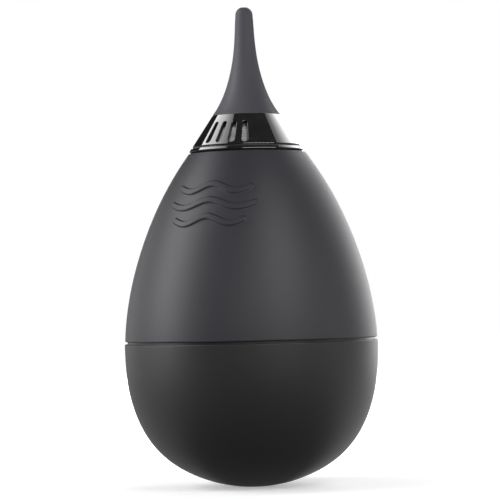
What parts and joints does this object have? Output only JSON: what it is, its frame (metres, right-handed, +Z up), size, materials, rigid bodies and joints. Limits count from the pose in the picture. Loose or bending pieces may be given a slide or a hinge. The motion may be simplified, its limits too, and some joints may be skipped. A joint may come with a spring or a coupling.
{
  "type": "dust blower bulb",
  "caption": "Egg-shaped self-righting hand air blower with a weighted base, a filtered vent collar with one-way valves and a soft tapered nozzle.",
  "frame": {"origin": "centre of the small flat that the base rests on", "axes": "+Z up along the nozzle and the axis of turning, -Y to the front, where the moulded ribs and the first group of vent slots are"},
  "size_m": [0.07, 0.07, 0.1323],
  "materials": {
    "bulb_silicone": "matt dark grey silicone, soft touch",
    "nozzle_silicone": "matt dark grey silicone",
    "cup_plastic": "matt soft-touch black-grey plastic",
    "gloss_trim": "polished black ABS",
    "inner_plastic": "plain black moulded plastic",
    "ballast_iron": "plain cast ballast",
    "screw_steel": "zinc-plated pan-head screws",
    "seal_rubber": "black nitrile",
    "valve_silicone": "translucent white silicone",
    "filter_felt": "light grey nonwoven filter"
  },
  "bodies": {
    "base": {"base_cup": "cup_plastic", "counterweight": "ballast_iron", "weight_cover": "inner_plastic", "weight_screws": "screw_steel", "joint_ring": "inner_plastic", "base_o_ring": "seal_rubber", "upper_bulb": "bulb_silicone"},
    "head": {"neck_flange": "inner_plastic", "neck_ring": "gloss_trim", "filter_gasket": "seal_rubber", "outlet_o_ring": "seal_rubber", "flap_retainer": "inner_plastic"},
    "intake_valve": {"intake_flap": "valve_silicone"},
    "outlet_valve": {"outlet_disc": "valve_silicone"},
    "filter_carrier": {"filter_frame": "inner_plastic", "filter_element": "filter_felt"},
    "collar": {"vent_collar": "gloss_trim", "valve_cage": "inner_plastic"},
    "nozzle_body": {"nozzle": "nozzle_silicone"}
  },
  "joints": [
    {"name": "bulb_squeeze", "type": "slide", "parent": "base", "child": "head", "axis": [0, 0, -1], "range_m": [0, 0.014], "stiffness_N_per_m": 1200, "deforming": ["upper_bulb"]},
    {"name": "intake_flap_drop", "type": "slide", "parent": "head", "child": "intake_valve", "axis": [0, 0, -1], "range_m": [0, 0.0008], "stiffness_N_per_m": 20, "springref_m": -0.0005},
    {"name": "outlet_disc_lift", "type": "slide", "parent": "head", "child": "outlet_valve", "axis": [0, 0, 1], "range_m": [0, 0.0009]},
    {"name": "filter_rise", "type": "slide", "parent": "head", "child": "filter_carrier", "axis": [0, 0, 1], "range_m": [0, 0.0045]},
    {"name": "collar_turn", "type": "hinge", "parent": "filter_carrier", "child": "collar", "pos_m": [0, 0, 0.1], "axis": [0, 0, 1], "range_deg": [0, 810]},
    {"name": "nozzle_pull", "type": "slide", "parent": "collar", "child": "nozzle_body", "axis": [0, 0, 1], "range_m": [0, 0.0085]}
  ],
  "couplings": [
    {"joint": "filter_rise", "follows": "collar_turn", "m_per_rad": 0.00031831}
  ]
}
